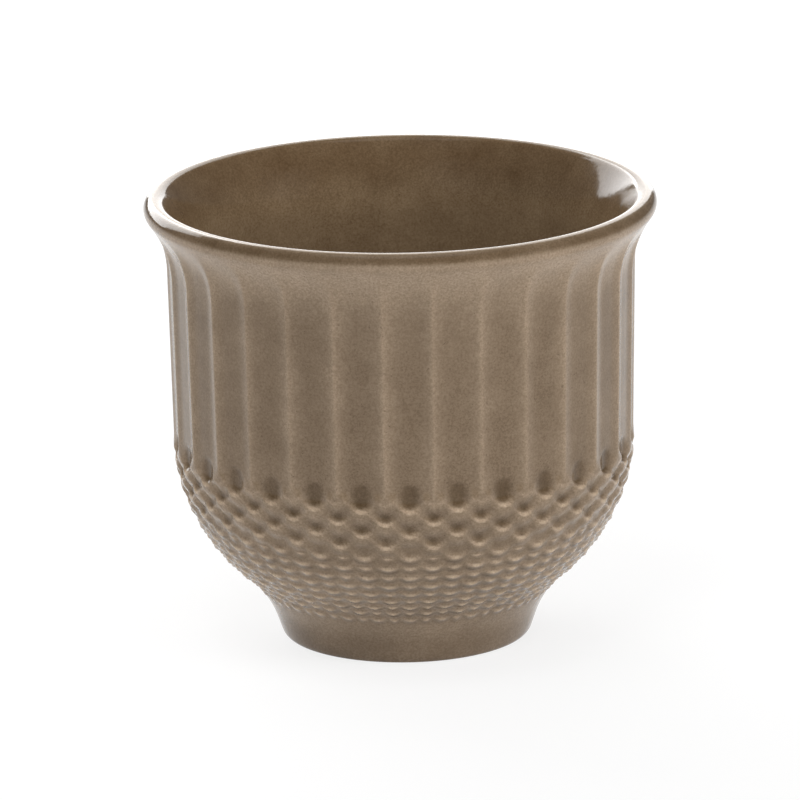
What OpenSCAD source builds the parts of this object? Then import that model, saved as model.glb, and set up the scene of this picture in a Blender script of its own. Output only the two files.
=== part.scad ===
// Handleless coffee cup: a fluted wall over a bowl of staggered dimples, on a small conical foot.
// It is one fired clay body with a glaze coat on its outside, one on its inside and one in its foot recess.
// The origin is the centre of the ring that the cup stands on, +Z is up, and sizes are in millimetres.

/* [Overall] */
// Diameter across the lip
rim_d = 95; // [78:1:116]
// Height from the standing ring to the top of the lip
cup_h = 84.2; // [70:0.2:102]
// Thickness of the wall from the rib tops to the inside, and of the lip
wall_t = 4.2; // [3.5:0.1:5.2]

/* [Wall] */
// How far the lip stands out past the lower end of the fluted wall
overhang = 4.65; // [3.5:0.05:6]
// Lean of the fluted wall from upright, outwards going up, in degrees
wall_lean = 1; // [0:0.1:2]
// Radius of the flare between the fluted wall and the lip
flare_r = 18; // [14:0.5:24]

/* [Bowl] */
// Height where the fluted wall turns in to the bowl
bowl_top = 38.4; // [32:0.2:47]
// Radius of the hollow curve between the bowl and the foot
cove_r = 21; // [17:0.5:26]
// Height of the inside floor
floor_h = 9; // [7:0.5:12]

/* [Foot] */
// Diameter of the outer edge of the standing ring
foot_d = 42.8; // [35:0.2:52]
// Width of the standing ring
ring_w = 3.4; // [2.5:0.1:5]
// Radius of the foot's rounded lower edge
foot_round = 2.2; // [1.4:0.1:2.8]
// Lean of the foot's side from upright, outwards going up, in degrees
foot_lean = 19; // [14:1:24]
// Height where the foot's straight side turns out to the bowl
foot_h = 3.5; // [2.8:0.1:5]
// Depth of the recess inside the standing ring
recess_h = 3; // [2:0.1:4]

/* [Flutes] */
// Number of flutes around the wall
flute_count = 30; // [24:1:36]
// Depth of a flute between its ribs
flute_depth = 0.6; // [0.4:0.05:1.2]
// Plain height left between the flutes and the top of the lip
flute_margin = 5; // [3:0.5:8]
// Length over which a flute deepens, from its top end down
flute_fade = 7; // [5:0.5:14]
// Half the width of a rounded rib as a share of a flute's width
rib_share = 0.175; // [0.12:0.005:0.3]

/* [Dimples] */
// Distance from the top of the bowl down its curve to the first row of dimples
first_row = 3; // [1.5:0.1:4]
// Step from one row of dimples to the next along the curve
row_step = 2.48; // [2:0.01:3]
// Depth of a dimple below the pads beside it
dimple_depth = 1.05; // [0.4:0.05:1.4]
// How far the pads stand proud of the bowl's curve
pad_rise = 0.25; // [0:0.05:0.4]
// Plain length left on the curve between the last row and the foot's straight side
plain_band = 5.5; // [3:0.5:9]
// Number of rows over which the dimples flatten out at the bottom
fade_rows = 2; // [1:1:5]

/* [Glaze] */
// Thickness of each glaze coat
glaze_t = 0.35; // [0.2:0.05:0.5]
// Angle below level on the foot's rounded edge where the outer glaze ends
glaze_end = 45; // [30:5:55]
// Height above the table where the glaze in the recess ends
base_end = 1; // [0.6:0.1:1.6]

/* [Hidden] */
$fn = 120;

// Points around the cup for each flute, so that ribs, flutes and their sides each get one
POINTS_PER_FLUTE = 4;
sides = flute_count * POINTS_PER_FLUTE;
// Steps along the inside curves: the lip, the flare and the bowl
LIP_STEPS = 5;
FLARE_STEPS = 6;
BOWL_STEPS = 12;
// Angle inside the crest of the lip where the clay stops being flat, so the cut there is clean
CREST_FLAT = 10;
// Height that the cavity's cut runs past the lip
CUT_PAST = 1;
DEG = 180 / PI;

// A lean is the angle from upright at which the outside runs, going up, so each lean has two directions
function outward(lean) = [cos(lean), -sin(lean)];
function upward(lean) = [sin(lean), cos(lean)];
function ease(t) = let(u = max(0, min(1, t))) u * u * (3 - 2 * u);

// Lip: a full round of the wall's thickness
lip_r = wall_t / 2;
lip_centre = [rim_d / 2 - lip_r, cup_h - lip_r];

// Flare: an arc that touches the wall and the lip from outside
wall_foot = [rim_d / 2 - overhang, bowl_top];
flare_from_lip = wall_foot + flare_r * outward(wall_lean) - lip_centre;
flare_reach = flare_from_lip * upward(wall_lean);
flare_gap = pow(flare_r + lip_r, 2) - flare_from_lip * flare_from_lip;
wall_run = -flare_reach - sqrt(pow(flare_reach, 2) + flare_gap);
flare_centre = lip_centre + flare_from_lip + wall_run * upward(wall_lean);
flare_lean = atan2(lip_centre.y - flare_centre.y, flare_centre.x - lip_centre.x);

// Foot: a rounded lower edge and a straight side, up to the cove
foot_centre = [foot_d / 2, foot_round - glaze_t];
flank_foot = foot_centre + foot_round * outward(foot_lean);
flank_run = (foot_h - flank_foot.y) / cos(foot_lean);
cove_centre = flank_foot + flank_run * upward(foot_lean) + cove_r * outward(foot_lean);

// Bowl: the arc that touches the wall at its lower end and the cove from inside
cove_from_wall = cove_centre - wall_foot;
cove_side = cove_r - cove_from_wall * outward(wall_lean);
bowl_r = (cove_from_wall * cove_from_wall - cove_r * cove_r) / (2 * cove_side);
bowl_centre = wall_foot - bowl_r * outward(wall_lean);
bowl_lean = atan2(bowl_centre.y - cove_centre.y, cove_centre.x - bowl_centre.x);

// Inside of the bowl: one arc from the wall to the flat floor, no wider than the cup. It gives way where
// the outside is so tight that the wall would get thinner
inner_foot = wall_foot - wall_t * outward(wall_lean);
inner_r = min((inner_foot.y - floor_h) / (1 - sin(wall_lean)), inner_foot.x / cos(wall_lean));
inner_centre = inner_foot - inner_r * outward(wall_lean);

// Lengths along the outside. Positions on it count down from the top of the bowl, so the wall's are negative
bowl_run = bowl_r * (bowl_lean - wall_lean) / DEG;
cove_run = cove_r * (bowl_lean - foot_lean) / DEG;
flare_run = flare_r * (flare_lean - wall_lean) / DEG;
flare_top = -wall_run - flare_run;
cove_end = bowl_run + cove_run;
flank_end = cove_end + flank_run;

// Place and lean of the finished outside at a position, without its relief: [radius, height, lean]
function at_arc(centre, r, lean) = concat(centre + r * outward(lean), lean);
function outside(s) =
    s < flare_top ? at_arc(lip_centre, lip_r, flare_lean - (flare_top - s) / lip_r * DEG)
    : s < -wall_run ? at_arc(flare_centre, -flare_r, wall_lean + (-wall_run - s) / flare_r * DEG)
    : s < 0 ? concat(wall_foot - s * upward(wall_lean), wall_lean)
    : s < bowl_run ? at_arc(bowl_centre, bowl_r, wall_lean + s / bowl_r * DEG)
    : s < cove_end ? at_arc(cove_centre, -cove_r, bowl_lean - (s - bowl_run) / cove_r * DEG)
    : s < flank_end ? concat(flank_foot + (flank_end - s) * upward(foot_lean), foot_lean)
    : at_arc(foot_centre, foot_round, foot_lean + (s - flank_end) / foot_round * DEG);

// Positions of the lip's lean angles and of the foot's
function on_lip(lean) = flare_top - lip_r * (flare_lean - lean) / DEG;
function on_foot(lean) = flank_end + foot_round * (lean - foot_lean) / DEG;

// Flutes run from below the lip to the first row of dimples
flute_top = on_lip(-90) + flute_margin;
flute_full = flute_top + flute_fade;
flute_end = first_row - 2 * row_step;
row_count = floor((cove_end - plain_band - first_row) / row_step);
last_row = first_row + row_count * row_step;

// Phase across a flute, from -0.5 at one rib through 0 at its middle to 0.5 at the next rib
function phase(angle) = let(turn = angle * flute_count / 360) turn - floor(turn) - 0.5;
function flute(angle) = 1 - exp(-pow((0.5 - abs(phase(angle))) / rib_share, 2));
// Staggered wave: 1 in the middle of a dimple, -1 on top of a pad. The first dimples end the flutes
function stagger(s, angle) = cos(360 * phase(angle)) * cos(180 * (s - first_row) / row_step);
function flute_share(s) = ease((s - flute_top) / flute_fade) * (1 - ease((s - flute_end) / (2 * row_step)));
function dimple_share(s) =
    ease((s - flute_end) / (2 * row_step)) * ease((last_row - s) / (fade_rows * row_step));
// Height of the relief above the plain outside
function relief(s, angle) =
    dimple_share(s) * (pad_rise - dimple_depth * (1 + stagger(s, angle)) / 2)
    - flute_share(s) * flute_depth * flute(angle);

// Positions that get a ring of points: lip, flare, wall, rows of dimples and foot
lip_stops = [on_lip(-90), on_lip(-45), on_lip(0), flare_top];
wall_stops = [flute_top + flute_fade / 3, flute_full, flute_end];
row_stops = [for (row = [0 : row_count]) first_row + row * row_step];
foot_stops = [cove_end, on_foot(foot_lean), on_foot(glaze_end)];
stops = concat(lip_stops, wall_stops, row_stops, foot_stops);

// One ring of points at a position, with the surface set back from the finished outside
function ring(s, back) = [
    for (i = [0 : sides - 1])
        let(
            angle = i * 360 / sides,
            base = outside(s),
            p = [base.x, base.y] + (relief(s, angle) - back) * outward(base.z)
        )
        [p.x * cos(angle), p.x * sin(angle), p.y]
];
function rings(positions, back) = [for (s = positions) each ring(s, back)];

// Triangles between neighbouring rings, from ring first to ring last, turned over for an inner surface.
// Their diagonals alternate from the first ring on, so that a coat and the clay under it get the same ones
function triangle(a, b, c, turned) = turned ? [a, c, b] : [a, b, c];
function band(upper, lower, i, turn, turned) =
    let(
        next = (i + 1) % sides,
        a = upper * sides + i,
        b = upper * sides + next,
        c = lower * sides + next,
        d = lower * sides + i,
        even = (turn + i) % 2 == 0
    )
    even
    ? [triangle(a, b, c, turned), triangle(a, c, d, turned)]
    : [triangle(a, b, d, turned), triangle(b, c, d, turned)];
function bands(first, last, turned = false) = [
    for (k = [first : last - 1])
        for (i = [0 : sides - 1])
            each band(k, k + 1, i, k - first, turned)
];

// Radius that the bowl and the cove leave inside at a height, behind a wall of some thickness
function room(z, wall) =
    z > bowl_centre.y - (bowl_r - wall) * sin(bowl_lean)
    ? bowl_centre.x + sqrt(pow(bowl_r - wall, 2) - pow(bowl_centre.y - z, 2))
    : cove_centre.x - sqrt(pow(cove_r + wall, 2) - pow(z - cove_centre.y, 2));

// Inside of the cup from the lip to the floor's middle, set back into the wall
function steps(from, to, count) = [for (i = [0 : count]) from + (to - from) * i / count];
function inside(back) = concat(
    [
        for (lean = steps(-90 - CREST_FLAT, flare_lean - 180, LIP_STEPS))
            lip_centre + (lip_r - back) * outward(lean)
    ],
    [
        for (lean = steps(flare_lean, wall_lean, FLARE_STEPS))
            if (lean < flare_lean)
                flare_centre - (flare_r + wall_t - back) * outward(lean)
    ],
    [
        for (lean = steps(wall_lean, 90, BOWL_STEPS))
            let(p = inner_centre + (inner_r + back) * outward(lean))
            [min(p.x, room(p.y, wall_t - back)), p.y]
    ],
    [[0, inner_centre.y - inner_r - back]]
);
function reverse(list) = [for (i = [len(list) - 1 : -1 : 0]) list[i]];

// The many-sided outer coat meets the round inner coat at the crest, on the circle inside its corners
seam_r = lip_centre.x * cos(180 / sides);
clay_top = cup_h - glaze_t;
recess_r = foot_d / 2 - ring_w;

module cavity_cut() {
    edge = inside(glaze_t);
    top = cup_h + CUT_PAST;
    rotate_extrude()
        polygon(concat([[0, top], [edge[0].x, top]], edge));
}

module recess_cut() {
    translate([0, 0, -CUT_PAST])
        cylinder(r = recess_r, h = recess_h + CUT_PAST);
}

module clay_blank() {
    positions = concat(stops, [on_foot(90)]);
    last = len(positions) - 1;
    top_cap = [for (i = [sides - 1 : -1 : 0]) i];
    bottom_cap = [for (i = [0 : sides - 1]) last * sides + i];
    polyhedron(rings(positions, glaze_t), concat([top_cap], bands(0, last), [bottom_cap]));
}

module clay_body() {
    color("#b9a58c")
        difference() {
            clay_blank();
            cavity_cut();
            recess_cut();
        }
}

module outer_glaze() {
    count = len(stops);
    inner_first = count;
    inner_last = 2 * count - 1;
    crest = [for (i = [0 : sides - 1]) each band(0, inner_first, i, 0, true)];
    hem = [for (i = [0 : sides - 1]) each band(count - 1, inner_last, i, 0, false)];
    faces = concat(bands(0, count - 1), bands(inner_first, inner_last, true), crest, hem);
    color("#776552")
        polyhedron(concat(rings(stops, 0), rings(stops, glaze_t)), faces);
}

module liner_glaze() {
    finished = inside(0);
    clay = inside(glaze_t);
    seam = [[clay[0].x, clay_top], [seam_r, clay_top], [seam_r, cup_h]];
    color("#5f4d3a")
        rotate_extrude()
            polygon(concat(finished, reverse(clay), seam));
}

module base_glaze() {
    side = recess_r - glaze_t;
    ceiling = recess_h - glaze_t;
    disc = [[0, ceiling], [0, recess_h], [recess_r, recess_h]];
    wall = [[recess_r, base_end], [side, base_end], [side, ceiling]];
    color("#776552")
        rotate_extrude()
            polygon(concat(disc, wall));
}

clay_body();
outer_glaze();
liner_glaze();
base_glaze();
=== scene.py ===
"""Looks of the handleless coffee cup: fine relief, glaze and clay materials, floor, light and camera."""
import math

import bmesh
import bpy
import numpy as np
from mathutils import Matrix, Vector


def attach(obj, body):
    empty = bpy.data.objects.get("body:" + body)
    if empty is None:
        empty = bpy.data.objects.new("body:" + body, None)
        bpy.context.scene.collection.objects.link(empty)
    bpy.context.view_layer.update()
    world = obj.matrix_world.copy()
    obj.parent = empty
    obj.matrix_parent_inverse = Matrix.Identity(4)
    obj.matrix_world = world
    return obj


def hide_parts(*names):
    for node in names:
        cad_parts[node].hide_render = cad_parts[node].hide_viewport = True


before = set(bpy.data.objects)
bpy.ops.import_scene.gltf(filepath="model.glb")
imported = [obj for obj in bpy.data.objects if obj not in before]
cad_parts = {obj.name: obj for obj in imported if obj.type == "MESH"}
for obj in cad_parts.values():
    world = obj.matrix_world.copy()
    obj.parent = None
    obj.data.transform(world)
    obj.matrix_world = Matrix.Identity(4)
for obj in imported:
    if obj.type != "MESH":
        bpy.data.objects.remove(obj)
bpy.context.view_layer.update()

MM = 0.001

# Sizes of the cup in millimetres and angles in radians, as in the CAD source
RIM_R = 47.5
CUP_H = 84.2
WALL_T = 4.2
OVERHANG = 4.65
WALL_LEAN = math.radians(1)
FLARE_R = 18
BOWL_TOP = 38.4
COVE_R = 21
FLOOR_H = 9
FOOT_R = 21.4
RING_W = 3.4
FOOT_ROUND = 2.2
FOOT_LEAN = math.radians(19)
FOOT_H = 3.5
RECESS_H = 3
GLAZE_T = 0.35
GLAZE_END = math.radians(45)
BASE_END = 1
# Rounded corner of the glaze in the recess: distances in from its side and down from its ceiling
BASE_CORNER = ((0, 0.5), (0.3, 0.08), (0.8, 0))

# Relief: lengths and depths are in millimetres, and widths across the columns are shares of a flute

# Flutes of the wall: how many, and how deep
FLUTES = 30
FLUTE_DEPTH = 0.6
# Where they start below the lip's crest, over how far they deepen, and how much later beside the ribs
FLUTE_MARGIN = 5
FLUTE_FADE = 7
FLUTE_ARCH = 1.5
# Width of a rib, share of its height that a narrow crest takes, and the width of that
RIB_WIDTH = 0.175
RIB_CREST = 0.2
RIB_CREST_WIDTH = 0.055
# Oval hollow at a flute's lower end: depth, half its width and height, lift above the first row, and how
# sharp its edge is
OVAL_DEPTH = 0.3
OVAL_WIDTH = 0.2
OVAL_HEIGHT = 2.2
OVAL_LIFT = 3.0
OVAL_EDGE = 3
# Rows of pads on the bowl: the first row's place, the step between rows, the hollows' depth, the pads'
# rise above the plain outside, and how squarely the columns change over
FIRST_ROW = 3.7
ROW_STEP = 2.48
HOLLOW_DEPTH = 0.9
PAD_RISE = 0.25
PAD_SQUARE = 1.3
# How far the ends of a pad's edge climb, in the first rows and in the last
PAD_CURVE = 5.0
LAST_CURVE = 1.8
# Where the pads take over from the flutes, and how far that takes
JOIN_START = -0.9
JOIN_RUN = 3.0
# Plain band above the foot, and the number of rows that fade out towards it
PLAIN_BAND = 3.6
FADE_ROWS = 1.5
# Share of a column's repeat in which the surface climbs from a hollow to the next pad's edge
LEDGE = 0.24
# How far above its first edge a column below a rib begins, as a share of its repeat
RIB_LEAD = 0.82
# How long a pad stays high before it falls to the next hollow, in the first rows and in the last
PAD_HANG = 1.3
LAST_HANG = 0.5
# The last rows: where they begin, how far that takes, and their depth as a share of the first rows' depth
LOW_START = 8.0
LOW_RUN = 9.0
LOW_SHARE = 0.7
# Small pads in the hollows of the last rows: their share of a pad's height, and half their width
SMALL_SHARE = 0.8
SMALL_WIDTH = 0.2
# Share of their height that the last rows lose between the columns
COLUMN_GAP = 0.35

# Tone of the glaze: 0 where it is dark, 1 where it is pale. Partly the glaze pooling and thinning, partly
# painted shade and painted highlight where the relief would shade or catch light

# On the wall: on the flutes' floors, how much more on the ribs, and more again on the line along them.
# The ribs and their line are paler partly as glaze that runs thin and partly as painted highlight
WALL_THIN = 0.33
RIB_THIN_AND_HIGHLIGHT = 0.3
RIB_THIN_AND_HIGHLIGHT_WIDTH = 0.22
LINE_THIN_AND_HIGHLIGHT = 0.22
LINE_WIDTH = 0.06
# On the lip, darker partly from pooled glaze and partly as painted shade, and the steps in which it grows
# below: how much, how far below the crest, over how far
LIP_POOL_AND_SHADE = 0.08
LIP_STEPS = ((0.85, 2.4, 1.1), (0.15, 4, 2))
# Painted highlight along the lip's crest: how much paler it is, and how wide it is
CREST_HIGHLIGHT = 0.9
CREST_HIGHLIGHT_WIDTH = 0.9
# On the bowl, how much more it grows towards the last row, and how much it falls towards the foot
BOWL_THIN = 0.58
LAST_THIN = 0.15
FOOT_DARKENING = 0.3
# On the edges of the pads, paler partly as glaze that runs thin and partly as painted highlight: how
# much more, how narrow that is, and the share of it between the columns
EDGE_THIN_AND_HIGHLIGHT = 1.45
EDGE_POWER = 1.4
EDGE_BETWEEN = 0.15
# In the hollows, darker partly from pooled glaze and partly as painted shade: how much less, how narrow
# that is, and the share of it between the columns
DEEP_POOL_AND_SHADE = 0.8
DEEP_POWER = 3.2
DEEP_BETWEEN = 0.1
# Where the darkening in the hollows begins to fade, and how far that takes
DEEP_START = 6
DEEP_RUN = 10
# In the oval hollows, darker partly from pooled glaze and partly as painted shade: how much less
OVAL_POOL_AND_SHADE = 0.46
# In the line of painted shade behind the edges of the last rows: how much less, and the line's place and
# width as shares of a column's repeat
SHADE_LINE_DARKNESS = 0.6
DARK_BACK = 0.2
DARK_WIDTH = 0.07
# Step over which the relief's bend is taken, the bend that makes an edge, and how much a bend across the
# columns counts beside one down them
BEND_STEP = 0.4
FULL_BEND = 1.2
ACROSS_SHARE = 0.3
# Under the foot, darker inside below the lip, and paler further down inside
BASE_THIN = 0.4
INSIDE_TOP_TONE = 0.1
INSIDE_DEEP_TONE = 0.85
# Depth below the rim at which the inside glaze begins to grow paler, and how far that takes
PALER_START = 4.0
PALER_RUN = 9.0

# Points across half a flute, and how much closer they stand at the ribs
HALF_POINTS = 8
CROWDING = 1.5
SIDES = FLUTES * 2 * HALF_POINTS
# Rings to a row of pads, and how far above the join the rings already stand close
ROW_RINGS = 8
CLOSE_ABOVE = 2
# Steps round the edge of the bare ring that the cup stands on
RING_STEPS = 6
# Places on each side of a ring where the relief over it is looked up
REACH_STEPS = 6
# Distance in metres that joins the points of a ring on the axis, and the angle that makes an edge sharp
WELD = 1e-7
SHARP = math.radians(40)


def outward(lean):
    """Direction out of a side that leans out at its top by that angle, as radius and height."""
    return np.stack([np.cos(lean), -np.sin(lean)], -1)


def upward(lean):
    """Direction up along such a side."""
    return np.stack([np.sin(lean), np.cos(lean)], -1)


def ease(t):
    """A smooth step from 0 at 0 to 1 at 1."""
    u = np.clip(t, 0, 1)
    return u * u * (3 - 2 * u)


def peak(t):
    """A rounded peak of height 1 at 0, which is nearly gone at 2."""
    return np.exp(-t ** 2)


# Outline: lip, flare, wall, bowl, cove, foot's side and foot's rounded edge, each tangent to the next
lip_r = WALL_T / 2
lip_centre = np.array([RIM_R - lip_r, CUP_H - lip_r])
wall_foot = np.array([RIM_R - OVERHANG, BOWL_TOP])
flare_from_lip = wall_foot + FLARE_R * outward(WALL_LEAN) - lip_centre
flare_reach = flare_from_lip @ upward(WALL_LEAN)
flare_gap = (FLARE_R + lip_r) ** 2 - flare_from_lip @ flare_from_lip
wall_run = -flare_reach - math.sqrt(flare_reach ** 2 + flare_gap)
flare_centre = lip_centre + flare_from_lip + wall_run * upward(WALL_LEAN)
flare_lean = math.atan2(lip_centre[1] - flare_centre[1], flare_centre[0] - lip_centre[0])
foot_centre = np.array([FOOT_R, FOOT_ROUND - GLAZE_T])
flank_foot = foot_centre + FOOT_ROUND * outward(FOOT_LEAN)
flank_run = (FOOT_H - flank_foot[1]) / math.cos(FOOT_LEAN)
cove_centre = flank_foot + flank_run * upward(FOOT_LEAN) + COVE_R * outward(FOOT_LEAN)
cove_from_wall = cove_centre - wall_foot
bowl_r = (cove_from_wall @ cove_from_wall - COVE_R ** 2) / (
    2 * (COVE_R - cove_from_wall @ outward(WALL_LEAN)))
bowl_centre = wall_foot - bowl_r * outward(WALL_LEAN)
bowl_lean = math.atan2(bowl_centre[1] - cove_centre[1], cove_centre[0] - bowl_centre[0])
inner_foot = wall_foot - WALL_T * outward(WALL_LEAN)
inner_r = (inner_foot[1] - FLOOR_H) / (1 - math.sin(WALL_LEAN))
inner_centre = inner_foot - inner_r * outward(WALL_LEAN)

# Lengths along the outline. Positions count down from the top of the bowl, so the wall's are negative
bowl_run = bowl_r * (bowl_lean - WALL_LEAN)
flare_top = -wall_run - FLARE_R * (flare_lean - WALL_LEAN)
cove_end = bowl_run + COVE_R * (bowl_lean - FOOT_LEAN)
flank_end = cove_end + flank_run


def on_lip(lean):
    """Position on the lip's round with that lean."""
    return flare_top - lip_r * (flare_lean - lean)


def on_foot(lean):
    """Position on the foot's rounded edge with that lean."""
    return flank_end + FOOT_ROUND * (lean - FOOT_LEAN)


def outline(s):
    """Place and lean of the plain outside at positions s."""
    s = np.asarray(s, float)
    zones = [s < flare_top, s < -wall_run, s < 0, s < bowl_run, s < cove_end, s < flank_end]
    leans = [
        flare_lean - (flare_top - s) / lip_r,
        WALL_LEAN + (-wall_run - s) / FLARE_R,
        np.full_like(s, WALL_LEAN),
        WALL_LEAN + s / bowl_r,
        bowl_lean - (s - bowl_run) / COVE_R,
        np.full_like(s, FOOT_LEAN),
    ]
    lean = np.select(zones, leans, FOOT_LEAN + (s - flank_end) / FOOT_ROUND)
    way = outward(lean)
    places = [
        lip_centre + lip_r * way,
        flare_centre - FLARE_R * way,
        wall_foot - s[:, None] * upward(WALL_LEAN),
        bowl_centre + bowl_r * way,
        cove_centre - COVE_R * way,
        flank_foot + (flank_end - s)[:, None] * upward(FOOT_LEAN),
    ]
    place = np.select([z[:, None] for z in zones], places, foot_centre + FOOT_ROUND * way)
    return place, lean


lip_top = on_lip(-math.pi / 2)
flute_top = lip_top + FLUTE_MARGIN
foot_edge = on_foot(GLAZE_END)
row_count = math.floor((cove_end - PLAIN_BAND - FIRST_ROW) / ROW_STEP)
last_row = FIRST_ROW + row_count * ROW_STEP


def phase(angle):
    """Place across a flute: 0 at its middle, -0.5 and 0.5 at its ribs."""
    turn = angle * FLUTES / (2 * math.pi)
    return turn - np.floor(turn) - 0.5


def flute(p):
    """Depth across a flute: 1 on its flat floor, 0 on its rounded ribs, which have a narrow crest."""
    away = 0.5 - np.abs(p)
    return 1 - (1 - RIB_CREST) * peak(away / RIB_WIDTH) - RIB_CREST * peak(away / RIB_CREST_WIDTH)


def squarer(wave, amount):
    """A wave from -1 to 1 with flatter crests."""
    return np.tanh(amount * wave) / np.tanh(amount)


def middle(p):
    """1 in the middle of each column of pads, 0 between the columns."""
    return (1 + np.cos(4 * math.pi * p)) / 2


def low_rows(s):
    """Share of the last rows' form, from 0 in the first rows to 1."""
    return ease((s - LOW_START) / LOW_RUN)


def row_fade(s):
    """Share of the pads that is left, down to 0 at the last row."""
    return ease((last_row - s) / (FADE_ROWS * ROW_STEP))


def pad_height(t, hang):
    """Height down a column of pads: 1 on a pad's upper edge, 0 in the hollow before the next ledge."""
    t = t - np.floor(t)
    fall = (1 + np.cos(math.pi * np.clip(t / (1 - LEDGE), 0, 1) ** hang)) / 2
    return np.where(t < 1 - LEDGE, fall, ease((t - 1 + LEDGE) / LEDGE))


def painted_shade_behind_edge(t):
    """Narrow line of painted shade behind a pad's upper edge."""
    return peak((t - np.round(t) - DARK_BACK) / DARK_WIDTH)


def pads(s, p):
    """Height of the staggered pads, 0 in hollows and 1 on upper edges, and the line of painted shade
    behind those.
    """
    late = low_rows(s)
    curve = PAD_CURVE + (LAST_CURVE - PAD_CURVE) * late
    repeat = 2 * ROW_STEP
    # Distances down from the first edge in the columns below flutes and below ribs, then in repeats
    under_flute = s - FIRST_ROW + curve * (2 * p) ** 2
    under_rib = s - FIRST_ROW - ROW_STEP + curve * (1 - 2 * np.abs(p)) ** 2
    below_flute = np.maximum(under_flute / repeat, -LEDGE)
    below_rib = np.maximum(under_rib / repeat, -RIB_LEAD)
    share = (1 + squarer(np.cos(2 * math.pi * p), PAD_SQUARE + late)) / 2
    hang = PAD_HANG + (LAST_HANG - PAD_HANG) * late
    columns = ((below_flute, share, np.abs(p)), (below_rib, 1 - share, 0.5 - np.abs(p)))
    height = 0
    line = 0
    for below, part, away in columns:
        between = below + 0.5
        small = SMALL_SHARE * late * peak(away / SMALL_WIDTH)
        tallest = np.maximum(pad_height(below, hang), small * pad_height(between, LAST_HANG))
        height = height + part * tallest
        # Painted shade in a line behind each edge of the last rows
        line = line + late * part * (painted_shade_behind_edge(below) + small * painted_shade_behind_edge(between))
    return height * (1 - COLUMN_GAP * late * (1 - middle(p))), line


def oval(s, p):
    """Oval hollows at the lower ends of the flutes."""
    up = (s - FIRST_ROW + OVAL_LIFT) / OVAL_HEIGHT
    return np.exp(-((p / OVAL_WIDTH) ** 2 + up ** 2) ** OVAL_EDGE)


def fluting(s, p):
    """Share of the flutes' depth, which starts below the lip in arches."""
    return ease((s - flute_top - FLUTE_ARCH * (2 * p) ** 2) / FLUTE_FADE)


def join(s):
    """Share of the pads, from 0 on the wall to 1 on the bowl."""
    return ease((s - JOIN_START) / JOIN_RUN)


def relief(s, angle):
    """Height of the relief above the plain outside: a row for each position s, a column for each angle."""
    s = np.asarray(s, float)[:, None]
    p = phase(np.asarray(angle, float))
    wall = -FLUTE_DEPTH * fluting(s, p) * flute(p)
    bowl = PAD_RISE - HOLLOW_DEPTH * (1 + (LOW_SHARE - 1) * low_rows(s)) * (1 - pads(s, p)[0])
    return wall + (bowl * row_fade(s) - wall) * join(s) - OVAL_DEPTH * oval(s, p)


def bend(s, angle):
    """How sharply the relief bends, from -1 in hollows to 1 on edges."""
    turn = BEND_STEP / outline(s)[0][:, :1]
    here = relief(s, angle)
    down = 2 * here - relief(s + BEND_STEP, angle) - relief(s - BEND_STEP, angle)
    across = 2 * here - relief(s, angle + turn) - relief(s, angle - turn)
    return np.tanh((down + ACROSS_SHARE * across) / BEND_STEP ** 2 / FULL_BEND)


def crest(away):
    """How much paler the painted highlight makes the lip's crest, at a distance from it."""
    return CREST_HIGHLIGHT * peak(away / CREST_HIGHLIGHT_WIDTH)


def wall_tone_with_painted_light(s, p):
    """Tone on the lip and the wall: darker below the lip's crest, partly pooled glaze and partly painted
    shade, with a painted highlight on the crest; paler on the ribs, partly glaze that runs off them and
    partly painted highlight.
    """
    away = 0.5 - np.abs(p)
    # Paler ribs and a paler line on their crests: partly thin glaze, partly painted highlight
    wall = WALL_THIN + RIB_THIN_AND_HIGHLIGHT * peak(away / RIB_THIN_AND_HIGHLIGHT_WIDTH) + LINE_THIN_AND_HIGHLIGHT * peak(away / LINE_WIDTH)
    below = s - lip_top
    # Painted highlight on the lip's crest
    lip = LIP_POOL_AND_SHADE + crest(below)
    # The lip is darker below its crest, partly pooled glaze and partly painted shade, and grows paler in
    # steps
    for more, start, run in LIP_STEPS:
        lip = lip + more * ease((below - start) / run)
    return lip + (wall - lip) * ease((s - flute_top) / (2 * FLUTE_FADE))


def bowl_tone_with_painted_light(s, p, bent):
    """Tone on the bowl and the foot: paler on the pads' edges, partly thin glaze and partly painted
    highlight; darker in the hollows, partly gathered glaze and partly painted shade; a painted shade line
    behind the last rows' edges.
    """
    within = middle(p)
    height, line = pads(s, p)
    edges = np.maximum(bent, 0) ** EDGE_POWER * (EDGE_BETWEEN + (1 - EDGE_BETWEEN) * within)
    # Darker hollows: partly pooled glaze, partly painted shade
    deep = (1 - height) ** DEEP_POWER * (DEEP_BETWEEN + (1 - DEEP_BETWEEN) * within ** 2)
    deep = deep * (1 - ease((s - DEEP_START) / DEEP_RUN))
    later = LAST_THIN * ease((s - FIRST_ROW) / last_row)
    low = FOOT_DARKENING * ease((s - last_row) / (cove_end - last_row))
    # Paler edges: partly thin glaze, partly painted highlight. Darker hollows: partly pooled glaze, partly
    # painted shade. The line behind the edges is painted shade
    on_pads = EDGE_THIN_AND_HIGHLIGHT * edges - SHADE_LINE_DARKNESS * line - DEEP_POOL_AND_SHADE * deep
    return BOWL_THIN + later - low + on_pads * row_fade(s)


def glaze_tone_with_painted_light(s, angle):
    """Tone of the glaze outside, with painted shade and painted highlight in it: a row for each position
    s, a column for each angle.
    """
    bent = bend(s, angle)
    s = np.asarray(s, float)[:, None]
    p = phase(np.asarray(angle, float))
    wall = wall_tone_with_painted_light(s, p)
    bowl = bowl_tone_with_painted_light(s, p, bent)
    # The oval hollows are darker, partly pooled glaze and partly painted shade
    return np.maximum(wall + (bowl - wall) * join(s) - OVAL_POOL_AND_SHADE * oval(s, p), 0)


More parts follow.
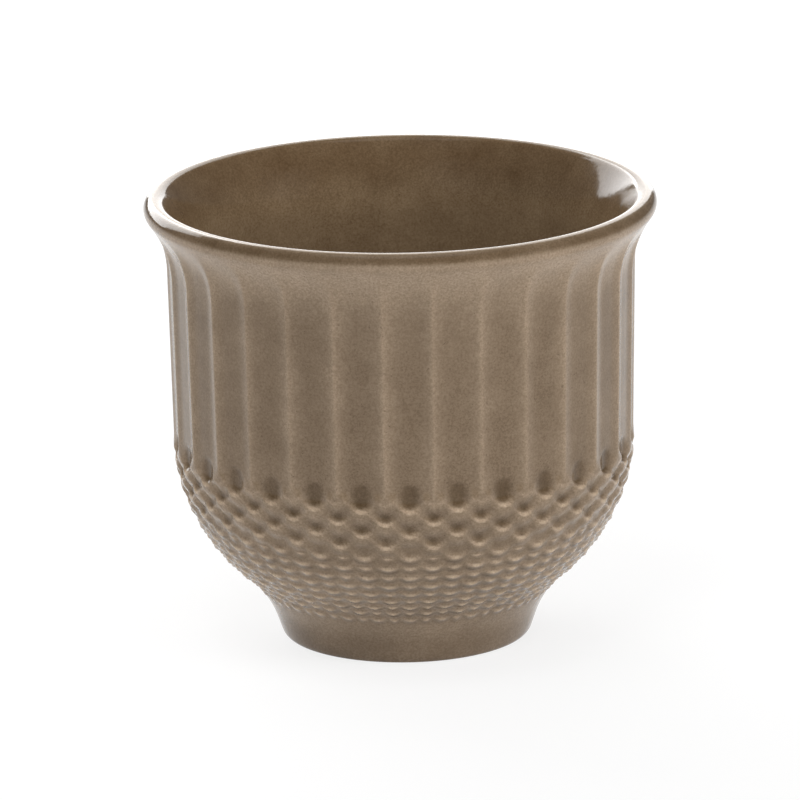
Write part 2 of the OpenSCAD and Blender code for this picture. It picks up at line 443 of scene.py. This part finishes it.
def spread(*stretches):
    """Positions along stretches of (start, end, steps) that follow each other, and the last one's end."""
    out = []
    for start, end, steps in stretches:
        out.extend(np.linspace(start, end, steps, endpoint=False))
    out.append(stretches[-1][1])
    return np.array(out)


half = (np.arange(HALF_POINTS + 1) / HALF_POINTS) ** CROWDING / 2
across_flute = np.concatenate([half, 1 - half[-2:0:-1]])
angles = (np.arange(FLUTES)[:, None] + across_flute).ravel() * 2 * math.pi / FLUTES


def under_relief(s):
    """Lowest relief as far as each ring's neighbours, so that rings far apart stay under it."""
    reach = np.maximum(np.diff(s, prepend=s[0]), np.diff(s, append=s[-1]))
    shares = np.linspace(-1, 1, 2 * REACH_STEPS + 1)
    return np.min([relief(s + share * reach, angles) for share in shares], 0)


def relief_rings(s, height):
    """Points of the outside at positions s, at that height above the plain outline."""
    place, lean = outline(s)
    way = outward(lean)
    r = place[:, :1] + height * way[:, :1]
    z = place[:, 1:] + height * way[:, 1:]
    return np.stack([r * np.cos(angles), r * np.sin(angles), z], -1)


def plain_rings(points):
    """Rings of points around the axis from an outline of radius and height."""
    points = np.asarray(points, float)
    r = points[:, :1]
    z = np.repeat(points[:, 1:], SIDES, 1)
    return np.stack([r * np.cos(angles), r * np.sin(angles), z], -1)


def skin(name, rings, attributes=None):
    """A closed mesh from a loop of rings. Rings on the axis shrink to one point."""
    count = len(rings)
    ring, side = np.meshgrid(np.arange(count), np.arange(SIDES), indexing="ij")
    next_ring = (ring + 1) % count
    next_side = (side + 1) % SIDES
    corners = ((ring, side), (next_ring, side), (next_ring, next_side), (ring, next_side))
    quads = np.stack([row * SIDES + column for row, column in corners], -1)
    mesh = bpy.data.meshes.new(name)
    mesh.from_pydata((rings.reshape(-1, 3) * MM).tolist(), [], quads.reshape(-1, 4).tolist())
    for key, values in (attributes or {}).items():
        data = mesh.attributes.new(key, "FLOAT", "POINT").data
        data.foreach_set("value", np.asarray(values, np.float32).ravel())
    welded = bmesh.new()
    welded.from_mesh(mesh)
    on_axis = [v for v in welded.verts if math.hypot(v.co.x, v.co.y) < WELD]
    bmesh.ops.remove_doubles(welded, verts=on_axis, dist=WELD)
    bmesh.ops.delete(welded, geom=[e for e in welded.edges if not e.link_faces], context="EDGES")
    welded.to_mesh(mesh)
    welded.free()
    mesh.shade_smooth()
    mesh.set_sharp_from_angle(angle=SHARP)
    obj = bpy.data.objects.new(name, mesh)
    bpy.context.scene.collection.objects.link(obj)
    return obj


# Pieces. Each stands for the CAD node of the same coat or body, in the same place, with finer relief

# Positions of the rings on the glaze, and further apart on the clay under it
close_from = JOIN_START - CLOSE_ABOVE
fine = spread(
    (lip_top, flare_top, 12),
    (flare_top, -wall_run, 12),
    (-wall_run, close_from, 8),
    (close_from, FIRST_ROW, 18),
    (FIRST_ROW, last_row, ROW_RINGS * row_count),
    (last_row, cove_end, 6),
    (cove_end, flank_end, 3),
    (flank_end, foot_edge, 4),
)
coarse = spread(
    (lip_top, flare_top, 5),
    (flare_top, -wall_run, 4),
    (-wall_run, JOIN_START, 3),
    (JOIN_START, FIRST_ROW, 6),
    (FIRST_ROW, last_row, row_count),
    (last_row, cove_end, 2),
    (cove_end, flank_end, 1),
    (flank_end, foot_edge, 2),
)


def inside(back, lip_points, flare_steps, bowl_points):
    """Outline of the inside from the crest of the lip to the floor, set back into the wall."""
    lip_leans = np.linspace(-math.pi / 2, flare_lean - math.pi, lip_points)
    flare_leans = np.linspace(flare_lean, WALL_LEAN, flare_steps + 1)[1:]
    bowl_leans = np.linspace(WALL_LEAN, math.pi / 2, bowl_points)
    lip = lip_centre + (lip_r - back) * outward(lip_leans)
    flare = flare_centre - (FLARE_R + WALL_T - back) * outward(flare_leans)
    bowl = inner_centre + (inner_r + back) * outward(bowl_leans)
    return np.concatenate([lip, flare, bowl])


floor_z = inner_centre[1] - inner_r
recess_r = FOOT_R - RING_W
clay_outside = relief_rings(coarse, under_relief(coarse) - GLAZE_T)
clay_inside = np.concatenate([
    inside(GLAZE_T, lip_points=6, flare_steps=6, bowl_points=14),
    [[0, floor_z - GLAZE_T]],
])


def outer_glaze():
    """Glaze outside, from the crest of the lip to the foot's rounded edge, and back along the clay."""
    rings = np.concatenate([relief_rings(fine, relief(fine, angles)), clay_outside[::-1]])
    # Tone of the glaze outside, with painted shade and painted highlight in it
    pale_tone = np.concatenate([glaze_tone_with_painted_light(fine, angles), glaze_tone_with_painted_light(coarse, angles)[::-1]])
    return skin("outer_glaze_coat", rings, {"glaze_tone_with_painted_light": pale_tone})


def liner_glaze():
    """Glaze inside, along the clay from the crest of the lip to the floor, and back on its own surface."""
    surface = inside(0, lip_points=12, flare_steps=12, bowl_points=30)
    points = np.concatenate([clay_inside, [[0, floor_z]], surface[::-1]])
    deeper = ease((CUP_H - points[:, 1] - PALER_START) / PALER_RUN)
    from_crest = np.hypot(*(points - [lip_centre[0], CUP_H]).T)
    # Painted highlight on the lip's crest inside, over a tone that is darker below the lip and paler
    # further down
    pale_tone = INSIDE_TOP_TONE + (INSIDE_DEEP_TONE - INSIDE_TOP_TONE) * deeper + crest(from_crest)
    return skin("liner_glaze_coat", plain_rings(points), {"glaze_tone_with_painted_light": np.repeat(pale_tone, SIDES)})


def clay_body():
    """Clay between the coats, with the bare ring that the cup stands on and the recess in it."""
    edge_leans = np.linspace(GLAZE_END, math.pi / 2, RING_STEPS + 1)[1:]
    edge = foot_centre + (FOOT_ROUND - GLAZE_T) * outward(edge_leans)
    recess = [[recess_r, 0], [recess_r, RECESS_H], [0, RECESS_H]]
    below_and_inside = plain_rings(np.concatenate([edge, recess, clay_inside[:0:-1]]))
    return skin("clay_body_fine", np.concatenate([clay_outside, below_and_inside]))


def base_glaze():
    """Glaze on the side and the ceiling of the recess, with a rounded corner."""
    side = recess_r - GLAZE_T
    ceiling = RECESS_H - GLAZE_T
    on_clay = [[0, RECESS_H], [recess_r, RECESS_H], [recess_r, BASE_END]]
    corner = [[side - back, ceiling - down] for back, down in BASE_CORNER]
    points = [*on_clay, [side, BASE_END], *corner, [0, ceiling]]
    pale_tone = np.full(len(points) * SIDES, BASE_THIN)
    return skin("base_glaze_coat", plain_rings(points), {"glaze_tone_with_painted_light": pale_tone})


outer = outer_glaze()
liner = liner_glaze()
clay = clay_body()
base = base_glaze()

# Glaze: sizes in millimetres of its clouds, grain, specks, duller patches and ripples
CLOUD_SIZE = 7
GRAIN_SIZE = 0.42
SPECK_SIZE = 0.5
PATCH_SIZE = 4
RIPPLE_SIZE = 1.6
RIPPLE_HEIGHT = 0.02
# Range that most of a noise's values lie in
NOISE_RANGE = (0.3, 0.7)
# Grain: its range of the noise, its tones where 0.5 changes nothing, and how strongly it shows
GRAIN_RANGE = (0.35, 0.65)
GRAIN_DARK = (0.42, 0.4, 0.37, 1)
GRAIN_PALE = (0.65, 0.65, 0.65, 1)
GRAIN_SHARE = 0.75
# Specks: their range of the noise, how strongly they show, and their colour
SPECK_RANGE = (0.71, 0.76)
SPECK_SHARE = 0.45
SPECK_COLOUR = "#4a3a2b"
GLAZE_ROUGHNESS = (0.08, 0.16)
GLAZE_IOR = 1.3
# Darkest colour, for pooled glaze and painted shade, palest colour, for thin glaze and painted highlight,
# and share of clouds, outside and inside
OUTSIDE_LOOK = ("#5a4a38", "#8c7b68", 0.12)
INSIDE_LOOK = ("#5d4b37", "#76644e", 0.25)

# Clay: sizes in millimetres of its clouds, its darker grains of grog, its patches and its grit
CLAY_CLOUD_SIZE = 5
GROG_SIZE = 0.45
CLAY_PATCH_SIZE = 1
GRIT_SIZE = 0.4
GRIT_HEIGHT = 0.05
CLAY_DARK = "#a8937a"
CLAY_PALE = "#c2ae94"
# Grog: its range of the noise, how strongly it shows, and its colour
GROG_RANGE = (0.62, 0.72)
GROG_SHARE = 0.6
GROG_COLOUR = "#7d6750"
CLAY_ROUGHNESS = (0.75, 0.92)

# Sockets of a Mix node that take its two colours, and the one that gives their mix
MIX_FIRST = 6
MIX_SECOND = 7
MIX_RESULT = 2


class Nodes:
    """Short words for the shader nodes of a material or a world."""

    def __init__(self, owner):
        owner.use_nodes = True
        self.tree = owner.node_tree

    def feed(self, socket, value):
        """Links a socket to another one, or sets it to a value."""
        if isinstance(value, bpy.types.NodeSocket):
            self.tree.links.new(value, socket)
        else:
            socket.default_value = value

    def add(self, kind, inputs=None, **settings):
        """A new node with these settings, and its inputs fed."""
        made = self.tree.nodes.new(kind)
        for key, value in settings.items():
            setattr(made, key, value)
        for key, value in (inputs or {}).items():
            self.feed(made.inputs[key], value)
        return made

    def maths(self, operation, *values):
        """Result of an operation on values or sockets."""
        return self.add("ShaderNodeMath", dict(enumerate(values)), operation=operation).outputs[0]

    def span(self, value, low, high, to_low=0.0, to_high=1.0, curve="LINEAR"):
        """A value's range from low to high, turned into another range."""
        inputs = {"Value": value, "From Min": low, "From Max": high, "To Min": to_low, "To Max": to_high}
        return self.add("ShaderNodeMapRange", inputs, interpolation_type=curve).outputs[0]


class Finish(Nodes):
    """Nodes of one finish of the object, with its noises in millimetres."""

    def __init__(self, name):
        self.material = bpy.data.materials.new(name)
        super().__init__(self.material)
        self.shader = self.tree.nodes["Principled BSDF"]
        metres = self.add("ShaderNodeTexCoord").outputs["Object"]
        scaled = self.add("ShaderNodeVectorMath", {0: metres, "Scale": 1 / MM}, operation="SCALE")
        self.place = scaled.outputs[0]

    def noise(self, size, detail, roughness, offset=(0, 0, 0)):
        """Noise with lumps of about that size."""
        moved = self.add("ShaderNodeVectorMath", {0: self.place, 1: offset}, operation="ADD").outputs[0]
        inputs = {"Vector": moved, "Scale": 1 / size, "Detail": detail, "Roughness": roughness}
        return self.add("ShaderNodeTexNoise", inputs).outputs["Fac"]

    def mix(self, share, a, b, blend="MIX"):
        """Two colours mixed. A share above 1 goes on past the second colour."""
        inputs = {"Factor": share, MIX_FIRST: a, MIX_SECOND: b}
        made = self.add("ShaderNodeMix", inputs, data_type="RGBA", blend_type=blend, clamp_factor=False)
        return made.outputs[MIX_RESULT]

    def look(self, colour, roughness, bumps, bump_height):
        """Gives the shader its colour and roughness, and bumps of that height."""
        bump = self.add("ShaderNodeBump", {"Height": bumps, "Distance": bump_height * MM, "Strength": 1.0})
        self.feed(self.shader.inputs["Base Color"], colour)
        self.feed(self.shader.inputs["Roughness"], roughness)
        self.feed(self.shader.inputs["Normal"], bump.outputs[0])


def rgb(code):
    """Linear colour of a written sRGB colour."""
    parts = [int(code[i:i + 2], 16) / 255 for i in (1, 3, 5)]
    return tuple(c / 12.92 if c <= 0.04045 else ((c + 0.055) / 1.055) ** 2.4 for c in parts) + (1.0,)


def glaze(name, dark_tone, pale_tone, cloudy):
    """Glossy stoneware glaze: darker where it pools and where painted shade falls, paler where it thins
    and where painted highlight falls, mottled and finely speckled.
    """
    f = Finish(name)
    clouds = f.noise(CLOUD_SIZE, detail=3, roughness=0.6)
    grains = f.noise(GRAIN_SIZE, detail=2, roughness=0.75, offset=(3, 7, 1))
    specks = f.noise(SPECK_SIZE, detail=1, roughness=0.5, offset=(11, 2, 5))
    patches = f.noise(PATCH_SIZE, detail=3, roughness=0.6, offset=(5, 5, 5))
    ripples = f.noise(RIPPLE_SIZE, detail=2, roughness=0.5, offset=(2, 9, 4))
    cloud = f.span(clouds, *NOISE_RANGE, -cloudy, cloudy)
    tone_and_painted_light = f.add("ShaderNodeAttribute", attribute_name="glaze_tone_with_painted_light").outputs["Fac"]
    # The tone mixes the glaze's two colours: pooled and thin glaze, with painted shade and painted
    # highlight
    colour = f.mix(f.maths("ADD", cloud, tone_and_painted_light), rgb(dark_tone), rgb(pale_tone))
    grain = f.mix(f.span(grains, *GRAIN_RANGE), GRAIN_DARK, GRAIN_PALE)
    colour = f.mix(GRAIN_SHARE, colour, grain, "OVERLAY")
    colour = f.mix(f.span(specks, *SPECK_RANGE, 0.0, SPECK_SHARE), colour, rgb(SPECK_COLOUR))
    f.look(colour, f.span(patches, *NOISE_RANGE, *GLAZE_ROUGHNESS), ripples, RIPPLE_HEIGHT)
    f.shader.inputs["IOR"].default_value = GLAZE_IOR
    return f.material


def bare_clay(name):
    """Bare fired clay: matt, gritty, with darker grog."""
    f = Finish(name)
    clouds = f.noise(CLAY_CLOUD_SIZE, detail=4, roughness=0.6)
    grog = f.noise(GROG_SIZE, detail=2, roughness=0.6, offset=(4, 1, 8))
    patches = f.noise(CLAY_PATCH_SIZE, detail=3, roughness=0.5)
    grit = f.noise(GRIT_SIZE, detail=4, roughness=0.7)
    colour = f.mix(f.span(clouds, *NOISE_RANGE), rgb(CLAY_DARK), rgb(CLAY_PALE))
    colour = f.mix(f.span(grog, *GROG_RANGE, 0.0, GROG_SHARE), colour, rgb(GROG_COLOUR))
    f.look(colour, f.span(patches, *NOISE_RANGE, *CLAY_ROUGHNESS), grit, GRIT_HEIGHT)
    return f.material


outside_glaze = glaze("glaze_outside_speckled", *OUTSIDE_LOOK)
inside_glaze = glaze("glaze_inside_speckled", *INSIDE_LOOK)
clay_finish = bare_clay("clay_bare")

for piece, node_name, slot, finish in (
    (clay, "clay_body", "clay", clay_finish),
    (outer, "outer_glaze", "glaze_outside", outside_glaze),
    (liner, "liner_glaze", "glaze_inside", inside_glaze),
    (base, "base_glaze", "glaze_base", inside_glaze),
):
    piece.data.materials.append(finish)
    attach(piece, "root")
    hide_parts(node_name)

# Floor in metres, a hair below the ring that the cup stands on, so that the two don't lie in one plane
FLOOR_HALF = 4.0
FLOOR_DROP = 0.00002
FLOOR_TONE = (0.9, 0.9, 0.9, 1)
FLOOR_ROUGHNESS = 0.9
# Share of plain white that the camera, reflections and glass see in the floor. The rest takes the shadow
FLOOR_WHITE = 0.8

floor_mesh = bpy.data.meshes.new("floor")
floor_mesh.from_pydata(
    [(x * FLOOR_HALF, y * FLOOR_HALF, -FLOOR_DROP) for x, y in ((-1, -1), (1, -1), (1, 1), (-1, 1))],
    [], [(0, 1, 2, 3)])
floor = bpy.data.objects.new("floor", floor_mesh)
bpy.context.scene.collection.objects.link(floor)


def pale_floor(name):
    """Pale matt floor that is mostly white to the rays that show it."""
    material = bpy.data.materials.new(name)
    n = Nodes(material)
    lit = n.tree.nodes["Principled BSDF"]
    lit.inputs["Base Color"].default_value = FLOOR_TONE
    lit.inputs["Roughness"].default_value = FLOOR_ROUGHNESS
    lit.inputs["Specular IOR Level"].default_value = 0.0
    white = n.add("ShaderNodeEmission", {"Strength": 1.0})
    ray = n.add("ShaderNodeLightPath").outputs
    mirrored = n.maths("MAXIMUM", ray["Is Glossy Ray"], ray["Is Transmission Ray"])
    share = n.maths("MULTIPLY", n.maths("MAXIMUM", ray["Is Camera Ray"], mirrored), FLOOR_WHITE)
    both = n.add("ShaderNodeMixShader", {0: share, 1: lit.outputs[0], 2: white.outputs[0]})
    n.feed(n.tree.nodes["Material Output"].inputs[0], both.outputs[0])
    return material


floor_mesh.materials.append(pale_floor("floor_pale"))

# Light: a dim room that is brighter behind and low down, a soft box above, a panel and a key behind, and
# three fills that leave no reflections: over the mouth, on the right and in front
ROOM_LEVEL = 0.08
ROOM_GLOW = 0.1
# Directions over which the room gets brighter towards the back, and dimmer upwards to a share of that
GLOW_BACK = (-0.45, 0.25)
GLOW_UP = (0.1, 0.7)
GLOW_ABOVE = 0.1
# Point that the lamps look at, in metres
LAMP_AIM = Vector((0, 0, 0.04))

world = bpy.data.worlds.new("studio")
bpy.context.scene.world = world
sky = Nodes(world)
direction = sky.add("ShaderNodeTexCoord").outputs["Generated"]
parts = sky.add("ShaderNodeSeparateXYZ", {0: direction}).outputs
behind = sky.span(parts["Y"], *GLOW_BACK, curve="SMOOTHSTEP")
low_down = sky.span(parts["Z"], *GLOW_UP, 1.0, GLOW_ABOVE, curve="SMOOTHSTEP")
glow = sky.maths("MULTIPLY", behind, low_down)
background = sky.tree.nodes["Background"].inputs
background["Color"].default_value = (1, 1, 1, 1)
sky.feed(background["Strength"], sky.maths("MULTIPLY_ADD", glow, ROOM_GLOW, ROOM_LEVEL))


def soft_box(name, place, width, height, power, reflects=True):
    """A rectangular lamp that looks at the cup and isn't seen by the camera."""
    lamp = bpy.data.lights.new(name, "AREA")
    lamp.shape = "RECTANGLE"
    lamp.size = width
    lamp.size_y = height
    lamp.energy = power
    obj = bpy.data.objects.new(name, lamp)
    bpy.context.scene.collection.objects.link(obj)
    obj.location = place
    obj.rotation_euler = (LAMP_AIM - Vector(place)).to_track_quat("-Z", "Y").to_euler()
    obj.visible_camera = False
    obj.visible_glossy = reflects


soft_box("above", (0, 0, 1.1), width=0.6, height=0.6, power=1.2)
soft_box("fill_inside", (-0.22, -0.3, 1.0), width=0.5, height=0.5, power=3.2, reflects=False)
soft_box("panel_behind", (0.02, 0.64, 0.33), width=0.45, height=0.66, power=3.0)
soft_box("key_behind", (-0.34, 0.56, 0.36), width=0.5, height=0.42, power=3.8)
soft_box("fill_right", (1.05, -0.5, 0.5), width=0.6, height=0.6, power=10.8, reflects=False)
soft_box("fill_front", (-0.6, -0.95, 0.65), width=0.6, height=0.6, power=6.0, reflects=False)

# Camera, fitted to the photograph's view. Lengths are in metres, and the sensor's width in millimetres
ELEVATION = math.radians(15.545)
TURN = math.radians(1.1)
ROLL = math.radians(0.954)
DISTANCE = 1.4
FOCAL_PX = 7514.86
FRAME_PX = 800
SENSOR = 36.0
AIM_RIGHT = -0.000616
AIM_UP = 0.044295
CLIP_NEAR = 0.05
CLIP_FAR = 20

right = Vector((math.cos(TURN), -math.sin(TURN), 0))
level = math.cos(ELEVATION)
back = Vector((-math.sin(TURN) * level, -math.cos(TURN) * level, math.sin(ELEVATION)))
up = back.cross(right)
aim = right * AIM_RIGHT + Vector((0, 0, AIM_UP))
image_right = right * math.cos(ROLL) - up * math.sin(ROLL)
image_up = right * math.sin(ROLL) + up * math.cos(ROLL)
turned = Matrix((image_right, image_up, back)).transposed().to_4x4()
camera = bpy.data.cameras.new("camera")
camera.sensor_width = SENSOR
camera.lens = FOCAL_PX / FRAME_PX * SENSOR
camera.clip_start = CLIP_NEAR
camera.clip_end = CLIP_FAR
eye = bpy.data.objects.new("camera", camera)
bpy.context.scene.collection.objects.link(eye)
eye.matrix_world = Matrix.Translation(aim + back * DISTANCE) @ turned
bpy.context.scene.camera = eye
bpy.context.scene.view_settings.view_transform = "Standard"
